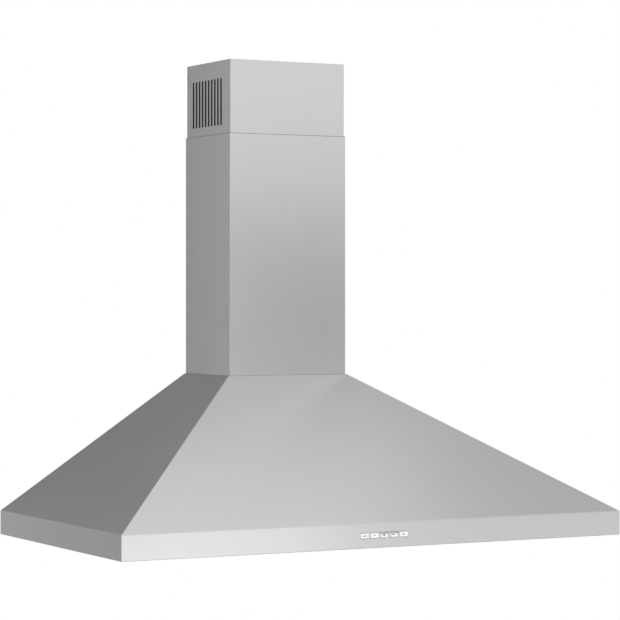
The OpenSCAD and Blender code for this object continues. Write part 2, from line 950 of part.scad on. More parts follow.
module motor_bracket() {
    ring_x = -housing_w / 2 - blower_t - arm_t;
    color(galvanised)
        translate([0, wheel_y, wheel_z])
            along_x() {
                translate([0, 0, ring_x])
                    ring(ring_out_r, ring_in_r, arm_t);
                three_arms()
                    difference() {
                        union() {
                            translate([arm_r, -arm_w / 2, arm_x])
                                cube([arm_t, arm_w, ring_x - arm_x + arm_t]);
                            translate([lug_hole_r - bush_r, -arm_w / 2, arm_x])
                                cube([arm_r + arm_t - lug_hole_r + bush_r, arm_w, arm_t]);
                        }
                        translate([lug_hole_r, 0, arm_x - cut])
                            cylinder(h = arm_t + 2 * cut, r = motor_screw_r + hole_gap);
                    }
            }
}

module motor_bushes() {
    color(dark)
        translate([0, wheel_y, wheel_z])
            along_x()
                three_arms()
                    translate([lug_hole_r, 0, arm_x + arm_t])
                        ring(bush_r, motor_screw_r + hole_gap, bush_t);
}

module motor_body() {
    color(grey)
        translate([0, wheel_y, wheel_z])
            along_x()
                difference() {
                    union() {
                        translate([0, 0, motor_rear])
                            cylinder(h = motor_bell_l, r1 = motor_r * motor_bell_share, r2 = motor_r);
                        translate([0, 0, motor_rear + motor_bell_l])
                            cylinder(h = motor_l - 2 * motor_bell_l, r = motor_r);
                        translate([0, 0, motor_front - motor_bell_l])
                            cylinder(h = motor_bell_l, r1 = motor_r, r2 = motor_r * motor_bell_share);
                        three_arms()
                            translate([motor_r / 2, -lug_w / 2, lug_x])
                                cube([lug_r - motor_r / 2, lug_w, lug_t]);
                    }
                    translate([0, 0, motor_rear - cut])
                        cylinder(h = motor_l + 2 * cut, r = shaft_r + run_gap);
                    three_arms()
                        translate([lug_hole_r, 0, lug_x - cut])
                            cylinder(h = lug_t + 2 * cut, r = motor_screw_r + hole_gap);
                }
}

module motor_shaft() {
    color(steel)
        translate([motor_rear - shaft_rear, wheel_y, wheel_z])
            along_x()
                cylinder(h = shaft_front + shaft_rear - motor_rear, r = shaft_r);
}

// The blower wheel: a hub disc, a ring at each end and the blades crimped between the rings
module impeller() {
    blade_l = wheel_w - 2 * ring_t - 2 * run_gap;
    color(galvanised)
        translate([0, wheel_y, wheel_z])
            along_x() {
                difference() {
                    union() {
                        translate([0, 0, -disc_t / 2])
                            cylinder(h = disc_t, r = disc_r);
                        translate([0, 0, -hub_l / 2])
                            cylinder(h = hub_l, r = hub_r);
                    }
                    translate([0, 0, -hub_l / 2 - cut])
                        cylinder(h = hub_l + 2 * cut, r = shaft_r + run_gap);
                }
                for (z = [-wheel_w / 2, wheel_w / 2 - ring_t])
                    translate([0, 0, z])
                        ring(wheel_r, blade_in_r, ring_t);
                for (k = [0 : blade_count - 1])
                    rotate(k * 360 / blade_count)
                        translate([blade_mid_r, 0, 0])
                            rotate(blade_a)
                                cube([blade_chord, blade_t, blade_l], center = true);
            }
}

module capacitor() {
    color(dark)
        translate([can_x, can_y, can_z]) {
            cylinder(h = can_h, r = can_r);
            for (x = [-1, 1])
                translate([x * can_tab_w - can_tab_w / 4, -can_tab_w / 2, can_h - can_tab_w / 2])
                    cube([can_tab_w / 2, can_tab_w, can_tab_h]);
        }
}

module capacitor_clip() {
    inner_r = can_r + run_gap;
    color(galvanised)
        translate([can_x, can_y, can_z + (can_h - clip_h) / 2])
            difference() {
                union() {
                    cylinder(h = clip_h, r = inner_r + clip_t);
                    translate([-can_r / 2, 0, 0])
                        cube([can_r, panel_y - can_y, clip_h]);
                }
                translate([0, 0, -cut])
                    cylinder(h = clip_h + 2 * cut, r = inner_r);
            }
}

module duct_collar() {
    inner_r = collar_r - collar_t;
    color(galvanised)
        translate([0, duct_y, 0])
            difference() {
                union() {
                    translate([0, 0, canopy_h])
                        ring(collar_r, inner_r, collar_h);
                    translate([0, 0, canopy_h])
                        ring(collar_r + collar_flange_w, inner_r, collar_flange_t);
                    translate([0, 0, hinge_z - knuckle_r - seat_gap - stop_h])
                        ring(collar_r - collar_t / 2, inner_r - stop_w, stop_h);
                }
                for (y = [-1, 1])
                    translate([-collar_r - cut, y * hinge_off, hinge_z])
                        rotate([0, 90, 0])
                            cylinder(h = 2 * collar_r + 2 * cut, r = pin_r + run_gap);
                for (p = collar_screws)
                    translate([p[0], p[1] - duct_y, canopy_h - cut])
                        cylinder(h = collar_flange_t + 2 * cut, r = screw_r + hole_gap);
            }
}

// One half-round damper flap: side is -1 for the front half and 1 for the rear half
module damper_flap(side) {
    flap_r = collar_r - collar_t - flap_gap;
    knuckle_l = 2 * (flap_r - knuckle_in);
    color(galvanised)
        translate([0, duct_y, 0])
            difference() {
                union() {
                    intersection() {
                        translate([0, 0, hinge_z - knuckle_r])
                            cylinder(h = flap_t, r = flap_r);
                        translate([-flap_r, side > 0 ? hinge_off : -hinge_off - flap_r, hinge_z - knuckle_r])
                            cube([2 * flap_r, flap_r, flap_t]);
                    }
                    translate([-knuckle_l / 2, side * hinge_off, hinge_z])
                        rotate([0, 90, 0])
                            cylinder(h = knuckle_l, r = knuckle_r);
                }
                translate([-knuckle_l / 2 - cut, side * hinge_off, hinge_z])
                    rotate([0, 90, 0])
                        cylinder(h = knuckle_l + 2 * cut, r = pin_r + run_gap);
            }
}

module damper_pin(side) {
    pin_l = 2 * (collar_r - collar_t / 2) - pin_short;
    color(steel)
        translate([-pin_l / 2, duct_y + side * hinge_off, hinge_z])
            rotate([0, 90, 0])
                cylinder(h = pin_l, r = pin_r);
}

module junction_box() {
    color(galvanised)
        difference() {
            union() {
                difference() {
                    translate([box_x - box_w / 2, panel_y - box_d, box_z])
                        cube([box_w, box_d, box_h]);
                    translate([box_x - box_w / 2 + box_t, panel_y - box_d - cut, box_z + box_t])
                        cube([box_w - 2 * box_t, box_d - box_t + cut, box_h - 2 * box_t]);
                }
                for (x = [-1, 1])
                    translate([box_x + x * box_screw_x, panel_y - box_t / 2, box_z + box_h / 2])
                        rotate([90, 0, 0])
                            cylinder(h = box_d - box_t / 2, r = boss_r);
            }
            translate([box_x, panel_y + cut, knockout_z])
                rotate([90, 0, 0])
                    cylinder(h = box_t + 2 * cut, r = knockout_r);
            for (x = [-1, 1])
                translate([box_x + x * box_screw_x, panel_y - box_t - 4 * boss_r, box_z + box_h / 2])
                    rotate([90, 0, 0])
                        cylinder(h = box_d, r = screw_r + run_gap);
        }
}

module junction_cover() {
    color(galvanised)
        difference() {
            translate([box_x - box_w / 2, panel_y - box_d - box_t, box_z])
                cube([box_w, box_t, box_h]);
            for (x = [-1, 1])
                translate([box_x + x * box_screw_x, panel_y - box_d + cut, box_z + box_h / 2])
                    rotate([90, 0, 0])
                        cylinder(h = box_t + 2 * cut, r = screw_r + hole_gap);
        }
}

module led_driver() {
    color(white)
        difference() {
            union() {
                translate([driver_x - driver_w / 2, panel_y - driver_d, driver_z])
                    cube([driver_w, driver_d, driver_h]);
                translate([driver_x - driver_w / 2 - ear_w, panel_y - ear_t, driver_z])
                    cube([driver_w + 2 * ear_w, ear_t, driver_h]);
            }
            for (x = [-1, 1])
                translate([driver_x + x * (driver_w + ear_w) / 2, panel_y + cut, driver_z + driver_h / 2])
                    rotate([90, 0, 0])
                        cylinder(h = ear_t + 2 * cut, r = screw_r + hole_gap);
        }
}

// The harness: supply to lamps, box to switches, and box to motor
module wiring_harness() {
    module_top = liner_z + bezel_lip_t - bezel_t + lens_t + module_h;
    supply_y = panel_y - driver_d / 2;
    box_y = panel_y - box_d / 2;
    color(dark) {
        wire([
            [driver_x, wire_y, driver_z],
            [driver_x, wire_y, wire_z],
            [wire_x, wire_y, wire_z],
            [wire_x, lamp_y, wire_z],
            [-lamp_x, lamp_y, wire_z],
            [-lamp_x, lamp_y, module_top]
        ]);
        translate([lamp_x, lamp_y, module_top])
            cylinder(h = wire_z - module_top, r = branch_r);
        wire([
            [box_x, wire_y, box_z],
            [box_x, wire_y, wire_z],
            [-wire_x, wire_y, wire_z],
            [-wire_x, lead_y, wire_z],
            [lead_x, lead_y, wire_z],
            [lead_x, lead_y, button_z],
            [lead_x, -canopy_d + sheet_t + block_off + block_d, button_z]
        ]);
        wire([
            [motor_lead_x, box_y, box_z + box_h],
            [motor_lead_x, box_y, wheel_z + motor_r / 2],
            [motor_lead_x, wheel_y, wheel_z + motor_r / 2],
            [motor_rear, wheel_y, wheel_z + motor_r / 2]
        ]);
        wire([
            [box_x + box_w / 2, supply_y, driver_z + driver_h / 2],
            [driver_x - driver_w / 2, supply_y, driver_z + driver_h / 2]
        ]);
    }
}

// A clip round a cable that runs along Z, with its foot at +X
module cable_clip() {
    difference() {
        union() {
            cylinder(h = clip_l, r = clip_r);
            translate([0, -wire_r, 0])
                cube([wire_in, 2 * wire_r, clip_l]);
        }
        translate([0, 0, -cut])
            cylinder(h = clip_l + 2 * cut, r = wire_r + run_gap);
    }
}

module cable_clips() {
    color(white)
        for (share = clip_shares, side = [-1, 1]) {
            translate([side * share * wire_x, wire_y, wire_z])
                rotate([0, 90, 0])
                    rotate(90)
                        cable_clip();
            translate([side * wire_x, -share * (canopy_d - lamp_front), wire_z])
                rotate([90, 0, 0])
                    rotate(side > 0 ? 0 : 180)
                        cable_clip();
        }
}

// A chimney cover: a U in plan with its flanges along the wall
module cover(w, d, h) {
    difference() {
        translate([-w / 2, -d, 0])
            cube([w, d, h]);
        translate([sheet_t - w / 2, sheet_t - d, -cut])
            cube([w - 2 * sheet_t, d - 2 * sheet_t, h + 2 * cut]);
        translate([cover_flange_w - w / 2, -sheet_t - cut, -cut])
            cube([w - 2 * cover_flange_w, sheet_t + 2 * cut, h + 2 * cut]);
    }
}

module lower_chimney() {
    color(steel)
        difference() {
            translate([0, 0, canopy_h])
                union() {
                    cover(chimney_w, chimney_d, lower_h);
                    for (p = tab_screws)
                        translate([p[0] > 0 ? p[0] - tab_d / 2 : -chimney_w / 2 + sheet_t / 2, p[1] - tab_l / 2, 0])
                            cube([tab_d + sheet_t / 2, tab_l, sheet_t]);
                }
            for (p = tab_screws)
                translate([p[0], p[1], canopy_h - cut])
                    cylinder(h = sheet_t + 2 * cut, r = screw_r + hole_gap);
        }
}

module upper_chimney() {
    color(steel)
        difference() {
            translate([0, -cover_inset, upper_top - upper_h])
                cover(upper_w, upper_d, upper_h);
            for (k = [0 : slot_count - 1])
                translate([0, slot_y + (k - (slot_count - 1) / 2) * slot_pitch, upper_top - slot_drop - slot_l / 2])
                    along_x()
                        linear_extrude(chimney_w, center = true)
                            round_rect(slot_w, slot_l, slot_r);
            translate([-chimney_w / 2, side_screw_y, upper_top - side_screw_drop])
                rotate([0, 90, 0])
                    cylinder(h = chimney_w, r = screw_r + side_hole_gap);
        }
}

// The wall bracket that holds the upper cover by its sides. Its plate reaches down behind the vent slots.
module chimney_bracket() {
    mid = bracket_mid / 2;
    back_y = -cover_inset - sheet_t;
    ear_x = upper_w / 2 - sheet_t;
    half_plan = [
        [mid, 0],
        [mid, back_y],
        [ear_x, back_y],
        [ear_x, -bracket_ear],
        [ear_x - bracket_t, -bracket_ear],
        [ear_x - bracket_t, back_y - bracket_t],
        [mid - bracket_t, back_y - bracket_t],
        [mid - bracket_t, -bracket_t]
    ];
    other_half = [for (i = [len(half_plan) - 1 : -1 : 0]) [-half_plan[i][0], half_plan[i][1]]];
    color(dark)
        difference() {
            translate([0, 0, upper_top - bracket_drop - bracket_h])
                linear_extrude(bracket_h)
                    polygon(concat(half_plan, other_half));
            for (x = [-1, 1])
                translate([x * bracket_hole_x, cut, upper_top - side_screw_drop])
                    rotate([90, 0, 0])
                        cylinder(h = bracket_t + 2 * cut, r = bracket_hole_r);
            translate([-chimney_w / 2, side_screw_y, upper_top - side_screw_drop])
                rotate([0, 90, 0])
                    cylinder(h = chimney_w, r = screw_r + run_gap);
        }
}

// The two screws through the upper cover's sides
module chimney_screws() {
    color(steel)
        for (side = [-1, 1])
            translate([side * upper_w / 2, side_screw_y, upper_top - side_screw_drop])
                rotate([0, 90 * side, 0])
                    screw(2 * (sheet_t + bracket_t));
}

// Screws of the liner, the lower cover, the switch shelf, the box cover and the driver
module panel_screws() {
    color(steel) {
        for (p = foot_places)
            translate([p[0], p[1], liner_z])
                mirror([0, 0, 1])
                    screw(liner_t + 2 * sheet_t);
        for (p = tab_screws)
            translate([p[0], p[1], canopy_h + sheet_t])
                screw(2 * sheet_t + plate_t);
        for (x = [-1, 1]) {
            translate([x * shelf_screw_x, shelf_screw_y, shelf_z + sheet_t])
                screw(shelf_screw_l);
            translate([box_x + x * box_screw_x, panel_y - box_d - box_t, box_z + box_h / 2])
                rotate([90, 0, 0])
                    screw(box_t + 4 * screw_r);
            translate([driver_x + x * (driver_w + ear_w) / 2, panel_y - ear_t, driver_z + driver_h / 2])
                rotate([90, 0, 0])
                    screw(ear_t);
        }
    }
}

// Screws of the motor, the blower's flanges and the collar
module blower_screws() {
    color(steel) {
        translate([0, wheel_y, wheel_z])
            along_x()
                three_arms()
                    translate([lug_hole_r, 0, arm_x])
                        mirror([0, 0, 1])
                            screw(arm_t + bush_t + lug_t, motor_screw_r);
        for (x = [-1, 1], y = [-1, 1])
            translate([x * side_screw_x, duct_y + y * side_screw_share * outlet_d, plate_z - blower_t])
                mirror([0, 0, 1])
                    screw(blower_t + plate_t);
        for (p = collar_screws)
            translate([p[0], p[1], canopy_h + collar_flange_t])
                screw(collar_flange_t + sheet_t + plate_t);
    }
}

canopy_shell();
back_panel();
panel_rivets();
top_plate();
liner_panel();
liner_brackets();
filter_frame(-1);  // filter_frame_left
filter_frame(0);  // filter_frame_middle
filter_frame(1);  // filter_frame_right
filter_baffles(-1);  // filter_baffles_left
filter_baffles(0);  // filter_baffles_middle
filter_baffles(1);  // filter_baffles_right
filter_latch(-1);  // filter_latch_left
filter_latch(0);  // filter_latch_middle
filter_latch(1);  // filter_latch_right
lamp_bezel(-1);  // lamp_bezel_left
lamp_bezel(1);  // lamp_bezel_right
lamp_lens(-1);  // lamp_lens_left
lamp_lens(1);  // lamp_lens_right
lamp_module(-1);  // lamp_module_left
lamp_module(1);  // lamp_module_right
switch_bracket();
switch_block();
button(0);  // lamp_button
button(1);  // power_button
button(2);  // low_speed_button
button(3);  // middle_speed_button
button(4);  // high_speed_button
button_face(0);  // lamp_button_face
button_face(1);  // power_button_face
button_face(2);  // low_speed_button_face
button_face(3);  // middle_speed_button_face
button_face(4);  // high_speed_button_face
scroll_wrap();
scroll_side(-1);  // scroll_side_left
scroll_side(1);  // scroll_side_right
inlet_ring();
motor_bracket();
motor_bushes();
motor_body();
motor_shaft();
impeller();
capacitor();
capacitor_clip();
duct_collar();
damper_flap(-1);  // damper_flap_front
damper_flap(1);  // damper_flap_rear
damper_pin(-1);  // damper_pin_front
damper_pin(1);  // damper_pin_rear
junction_box();
junction_cover();
led_driver();
wiring_harness();
cable_clips();
lower_chimney();
upper_chimney();
chimney_bracket();
chimney_screws();
panel_screws();
blower_screws();
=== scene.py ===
import json
import math

import bmesh
import bpy
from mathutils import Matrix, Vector

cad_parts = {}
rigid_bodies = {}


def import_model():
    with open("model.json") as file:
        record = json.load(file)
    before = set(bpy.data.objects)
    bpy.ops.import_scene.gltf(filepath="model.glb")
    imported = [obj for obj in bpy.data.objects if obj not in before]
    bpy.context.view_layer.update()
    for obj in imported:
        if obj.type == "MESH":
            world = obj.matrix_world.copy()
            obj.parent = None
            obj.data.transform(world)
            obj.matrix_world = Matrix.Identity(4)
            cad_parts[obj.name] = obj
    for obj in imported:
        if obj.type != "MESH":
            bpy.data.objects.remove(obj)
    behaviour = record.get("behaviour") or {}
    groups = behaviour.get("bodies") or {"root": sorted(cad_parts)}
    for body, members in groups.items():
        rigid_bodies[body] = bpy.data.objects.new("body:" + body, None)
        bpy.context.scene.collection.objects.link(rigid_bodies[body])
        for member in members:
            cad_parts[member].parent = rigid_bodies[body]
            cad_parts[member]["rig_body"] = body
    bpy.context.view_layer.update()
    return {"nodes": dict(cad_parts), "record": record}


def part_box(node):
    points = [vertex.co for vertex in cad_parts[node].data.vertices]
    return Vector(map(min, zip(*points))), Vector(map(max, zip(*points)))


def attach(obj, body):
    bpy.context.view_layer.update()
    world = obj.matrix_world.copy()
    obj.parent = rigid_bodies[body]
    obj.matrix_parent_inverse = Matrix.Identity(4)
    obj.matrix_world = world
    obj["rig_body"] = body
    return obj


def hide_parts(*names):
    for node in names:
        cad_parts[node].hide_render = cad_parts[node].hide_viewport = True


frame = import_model()

# The photograph's camera: level, with its vertical lines parallel
PHOTO_PX = 620
FOCAL_PX = 2468.5
HORIZON_PX = 298.1
CAMERA_YAW = math.radians(28.315)
CAMERA_PLACE = Vector((-1.9695, -3.9067, 0.3974))
SENSOR_MM = 36

# Sheet metal: its thickness, the widest face of a cut edge, and the covers' rim and slots, in metres
SHEET = 0.001
CUT_EDGE_MOST = 1.2 * SHEET
RIM_HEIGHT = 0.0006
RIM_INSET = 0.0004
SLOT_FLARE = 0.0004

# Fold radii, and the least width of a face beside a fold
FOLD_R = 0.0009
FRAME_FOLD_R = 0.0006
BUTTON_FOLD_R = 0.0003
BLOCK_FOLD_R = 0.0008
DRIVER_FOLD_R = 0.0012
BOX_FOLD_R = 0.0006
LID_FOLD_R = 0.0003
FOLD_SEGMENTS = 3
BROAD = 0.003
BUTTON_BROAD = 0.0015
LID_BROAD = 0.0008

# Cleaning and shading of the meshes
WELD = 0.000002
FLAT_BELOW = math.radians(0.5)
FOLD_ABOVE = math.radians(20)
SMOOTH_BELOW = math.radians(33)

# The button guides
GUIDE_SIDE = 0.0005
GUIDE_RIM = 0.00015
GUIDE_DEPTH = 0.004
BUTTON_GAP = 0.0002
BUTTON_CORNER = 0.0012
CORNER_STEPS = 6

# The printed signs
PRINT_THICKNESS = 0.00006
ARC_STEPS = 20

# The bracket's wall screws. A ring has a radius and a reach from the plate.
BRACKET_SHEET = 0.0015
BRACKET_HOLE_X = 0.06
BRACKET_HOLE_DROP = 0.022
SHANK_R = 0.0026
HEAD_RINGS = ((0.005, 0.0), (0.005, 0.0006), (0.0046, 0.0015), (0.0037, 0.0022), (0.0024, 0.0026))
SOCKET_RINGS = ((0.0018, 0.0026), (0.0017, 0.0009))
SCREW_STEPS = 24
SCREW_SMOOTH_BELOW = math.radians(40)

# The grain of the metals, in features per metre
STREAKS_PER_M = 1300
STREAK_RUNS_PER_M = 4
BANDS_PER_M = 160
BAND_RUNS_PER_M = 1.5
SMEARS_PER_M = 5
SPANGLES_PER_M = 95

# The range that noise mostly keeps to
NOISE_SPAN = (0.25, 0.75)

# Base colours
STEEL_TONE = (0.62, 0.62, 0.62)
INNER_STEEL_TONE = (0.42, 0.42, 0.42)
# Painted shade: near black on the lower cover's rim band, standing in for the shaded joint below the
# upper cover
RIM_SHADE_TONE = (0.06, 0.06, 0.06)
# Painted shade: near black on the walls of the vent slots, standing in for the dark inside of the
# chimney
SLOT_SHADE_TONE = (0.02, 0.02, 0.02)
CAP_TONE = (0.56, 0.56, 0.565)
BLACK_ZINC_TONE = (0.03, 0.03, 0.031)
ZINC_TONE = (0.5, 0.5, 0.51)
CHIMNEY_SCREW_TONE = (0.4, 0.4, 0.41)
ALLOY_TONE = (0.5, 0.505, 0.51)
BLACK_TONE = (0.028, 0.028, 0.03)
WHITE_TONE = (0.78, 0.785, 0.77)
RUBBER_TONE = (0.022, 0.022, 0.022)
MOTOR_TONE = (0.075, 0.078, 0.083)
CABLE_TONE = (0.035, 0.035, 0.038)
ENAMEL_AND_SHADE_TONE = (0.02, 0.02, 0.021)

SIDES = ("left", "middle", "right")
BUTTONS = ("lamp", "power", "low_speed", "middle_speed", "high_speed")


def body_of(node):
    return frame["nodes"][node]["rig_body"]


def new_piece(name, mesh):
    """An object made from a bmesh, which this call frees."""
    data = bpy.data.meshes.new(name)
    mesh.to_mesh(data)
    mesh.free()
    piece = bpy.data.objects.new(name, data)
    bpy.context.scene.collection.objects.link(piece)
    return piece


def paint(piece, *paints):
    """Gives a piece its paints. A mesh without any keeps the numbers on its faces."""
    if piece.data.materials:
        piece.data.materials.clear()
    for material in paints:
        piece.data.materials.append(material)


def tinted(colour, factor):
    return tuple(channel * factor for channel in colour)


class Tree:
    """A new material's node tree, with short calls for the nodes used here."""

    def __init__(self, name):
        self.material = bpy.data.materials.new(name)
        self.material.use_nodes = True
        self.tree = self.material.node_tree
        self.shader = self.tree.nodes["Principled BSDF"]
        self.surface = self.tree.nodes["Material Output"].inputs["Surface"]
        self.place = self.add("ShaderNodeTexCoord").outputs["Object"]

    def add(self, kind, **settings):
        node = self.tree.nodes.new(kind)
        for name, value in settings.items():
            setattr(node, name, value)
        return node

    def link(self, output, entry):
        self.tree.links.new(output, entry)

    def noise(self, scale, detail=3.0):
        """Noise of about the given number of features per metre along each axis."""
        mapping = self.add("ShaderNodeMapping")
        mapping.inputs["Scale"].default_value = scale
        self.link(self.place, mapping.inputs["Vector"])
        node = self.add("ShaderNodeTexNoise")
        node.inputs["Scale"].default_value = 1.0
        node.inputs["Detail"].default_value = detail
        self.link(mapping.outputs["Vector"], node.inputs["Vector"])
        return node.outputs["Fac"]

    def drawn_noise(self, along, run_per_m, across_per_m):
        """Noise with fewer features along one axis than across it."""
        return self.noise([run_per_m if axis == along else across_per_m for axis in range(3)], 2.0)

    def mottle(self, per_m, detail=3.0):
        """Noise that is the same along every axis."""
        return self.noise((per_m,) * 3, detail)

    def cells(self, per_m, randomness=1.0):
        """Cells of one random grey each, and the distance from the middle of each."""
        node = self.add("ShaderNodeTexVoronoi")
        node.inputs["Scale"].default_value = per_m
        node.inputs["Randomness"].default_value = randomness
        self.link(self.place, node.inputs["Vector"])
        split = self.add("ShaderNodeSeparateColor")
        self.link(node.outputs["Color"], split.inputs["Color"])
        return split.outputs["Red"], node.outputs["Distance"]

    def spread(self, value, span=(0, 1), usual=NOISE_SPAN):
        """The value taken from its usual range to the span."""
        node = self.add("ShaderNodeMapRange")
        node.inputs["From Min"].default_value = usual[0]
        node.inputs["From Max"].default_value = usual[1]
        node.inputs["To Min"].default_value = span[0]
        node.inputs["To Max"].default_value = span[1]
        self.link(value, node.inputs["Value"])
        return node.outputs["Result"]

    def change(self, value, step):
        """The value taken to a span of one step to each side of nothing."""
        return self.spread(value, (-step, step))

    def total(self, first, second):
        node = self.add("ShaderNodeMath", operation="ADD")
        self.link(first, node.inputs[0])
        self.link(second, node.inputs[1])
        return node.outputs["Value"]

    def blend(self, share, first, second):
        """A colour between the two, by the share."""
        node = self.add("ShaderNodeMix", data_type="RGBA")
        self.link(share, node.inputs["Factor"])
        node.inputs["A"].default_value = (*first, 1)
        node.inputs["B"].default_value = (*second, 1)
        return node.outputs["Result"]

    def bump(self, height, depth):
        """Relief of the given depth in metres."""
        node = self.add("ShaderNodeBump")
        node.inputs["Strength"].default_value = 1.0
        node.inputs["Distance"].default_value = depth
        self.link(height, node.inputs["Height"])
        self.link(node.outputs["Normal"], self.shader.inputs["Normal"])

    def finish(self, colour, roughness, metallic=0.0):
        self.link(colour, self.shader.inputs["Base Color"])
        self.link(roughness, self.shader.inputs["Roughness"])
        self.shader.inputs["Metallic"].default_value = metallic
        return self.material


def brushed(name, tone, along, roughness):
    """Sheet metal with fine streaks and fainter bands along one axis, and smears from handling."""
    streak_share = 0.6
    contrast = 0.015
    rough_step = 0.02
    rough_span = (roughness - rough_step, roughness + rough_step)
    relief = 0.0000008
    t = Tree(name)
    streaks = t.drawn_noise(along, STREAK_RUNS_PER_M, STREAKS_PER_M)
    bands = t.drawn_noise(along, BAND_RUNS_PER_M, BANDS_PER_M)
    smears = t.mottle(SMEARS_PER_M, detail=4.0)
    share = t.total(t.spread(streaks, (0, streak_share)), t.spread(bands, (0, 1 - streak_share)))
    colour = t.blend(share, tinted(tone, 1 - contrast), tinted(tone, 1 + contrast))
    rough = t.total(t.spread(streaks, rough_span), t.change(smears, rough_step))
    t.bump(streaks, relief)
    return t.finish(colour, rough, metallic=1.0)


def galvanised(name):
    """Zinc-coated sheet with its spangle."""
    dark_spangle = (0.42, 0.435, 0.445)
    pale_spangle = (0.56, 0.575, 0.585)
    spangle_rough = (0.36, 0.5)
    smear_step = 0.03
    t = Tree(name)
    spangle, _ = t.cells(SPANGLES_PER_M)
    smears = t.mottle(SMEARS_PER_M, detail=4.0)
    colour = t.blend(spangle, dark_spangle, pale_spangle)
    rough = t.total(t.spread(spangle, spangle_rough, usual=(0, 1)), t.change(smears, smear_step))
    return t.finish(colour, rough, metallic=1.0)


def plated(name, tone):
    """Small plated pieces with a faint mottle."""
    mottles_per_m = 400
    contrast = 0.12
    rough = (0.3, 0.42)
    t = Tree(name)
    mottle = t.mottle(mottles_per_m)
    colour = t.blend(t.spread(mottle), tinted(tone, 1 - contrast), tinted(tone, 1 + contrast))
    return t.finish(colour, t.spread(mottle, rough), metallic=1.0)


def moulded(name, tone, grain_per_m, relief, rough, metallic=0.0):
    """Moulded plastic, rubber or alloy with a fine grain and slight changes of tone."""
    mottles_per_m = 30
    darkest = 0.92
    palest = 1.05
    t = Tree(name)
    grain = t.mottle(grain_per_m)
    mottle = t.mottle(mottles_per_m)
    colour = t.blend(t.spread(mottle), tinted(tone, darkest), tinted(tone, palest))
    t.bump(grain, relief)
    return t.finish(colour, t.spread(grain, rough), metallic=metallic)


def face_with_painted_glow(name):
    """A button's white lens, with a faint painted glow added to it; nothing lights it from behind."""
    mottles_per_m = 260
    darkest = (0.9, 0.905, 0.91)
    palest = (0.94, 0.945, 0.95)
    rough = (0.22, 0.32)
    # Painted glow: the face gives off a faint light of its own, which makes it brighter than the lamps
    # alone would.
    glow = 0.1
    t = Tree(name)
    mottle = t.mottle(mottles_per_m)
    colour = t.blend(t.spread(mottle), darkest, palest)
    t.shader.inputs["Emission Color"].default_value = (1, 1, 1, 1)
    t.shader.inputs["Emission Strength"].default_value = glow
    return t.finish(colour, t.spread(mottle, rough))


def frosted(name):
    """Frosted lamp glass with small moulded lenses."""
    lenses_per_m = 190
    lens_randomness = 0.15
    lens_relief = 0.0006
    mottles_per_m = 180
    darkest = (0.86, 0.875, 0.885)
    palest = (0.93, 0.94, 0.95)
    rough = (0.28, 0.4)
    clear_share = 0.35
    refraction = 1.5
    t = Tree(name)
    _, lenses = t.cells(lenses_per_m, lens_randomness)
    mottle = t.mottle(mottles_per_m)
    colour = t.blend(t.spread(mottle), darkest, palest)
    t.bump(lenses, lens_relief)
    t.shader.inputs["Transmission Weight"].default_value = clear_share
    t.shader.inputs["IOR"].default_value = refraction
    return t.finish(colour, t.spread(mottle, rough))


def printed(name):
    """Grey print of the button signs."""
    mottles_per_m = 900
    darkest = (0.15, 0.15, 0.155)
    palest = (0.2, 0.2, 0.205)
    rough = (0.45, 0.6)
    t = Tree(name)
    mottle = t.mottle(mottles_per_m)
    colour = t.blend(t.spread(mottle), darkest, palest)
    return t.finish(colour, t.spread(mottle, rough))


ALONG_X = 0
ALONG_Y = 1
ALONG_Z = 2

canopy_steel = brushed("canopy steel", STEEL_TONE, ALONG_X, roughness=0.3)
chimney_steel = brushed("chimney steel", STEEL_TONE, ALONG_Z, roughness=0.3)
liner_steel = brushed("liner steel", STEEL_TONE, ALONG_X, roughness=0.3)
baffle_steel = brushed("baffle steel", STEEL_TONE, ALONG_Y, roughness=0.28)
# The inner side is darker and duller, partly its plain mill finish and partly painted shade for the
# inside of the chimney.
inner_steel = brushed("inner side of the covers", INNER_STEEL_TONE, ALONG_Z, roughness=0.5)
rim_shade = plated("rim painted as joint shade", RIM_SHADE_TONE)
slot_shade = plated("slot walls painted as shade", SLOT_SHADE_TONE)
cap_silver = moulded(
    "satin silver", CAP_TONE, grain_per_m=900, relief=0.00001, rough=(0.4, 0.5), metallic=0.2
)
print_grey = printed("grey print")
black_zinc = plated("black zinc", BLACK_ZINC_TONE)

materials = {
    "stainless": liner_steel,
    "galvanised": galvanised("galvanised sheet"),
    "zinc": plated("zinc plate", ZINC_TONE),
    "button_white": face_with_painted_glow("button face with painted glow"),
    "lamp_glass": frosted("frosted lamp glass"),
    "alloy": moulded(
        "cast alloy", ALLOY_TONE, grain_per_m=700, relief=0.00004, rough=(0.38, 0.5), metallic=1.0
    ),
    "black_plastic": moulded(
        "black plastic", BLACK_TONE, grain_per_m=1500, relief=0.00003, rough=(0.42, 0.55)
    ),
    "white_plastic": moulded(
        "white plastic", WHITE_TONE, grain_per_m=1200, relief=0.00002, rough=(0.3, 0.4)
    ),
    "rubber": moulded("rubber", RUBBER_TONE, grain_per_m=900, relief=0.00004, rough=(0.65, 0.8)),
    "motor_paint": moulded("motor paint", MOTOR_TONE, grain_per_m=300, relief=0.00006, rough=(0.3, 0.4)),
    "cable_sheath": moulded(
        "cable sheath", CABLE_TONE, grain_per_m=800, relief=0.00003, rough=(0.45, 0.6)
    ),
}

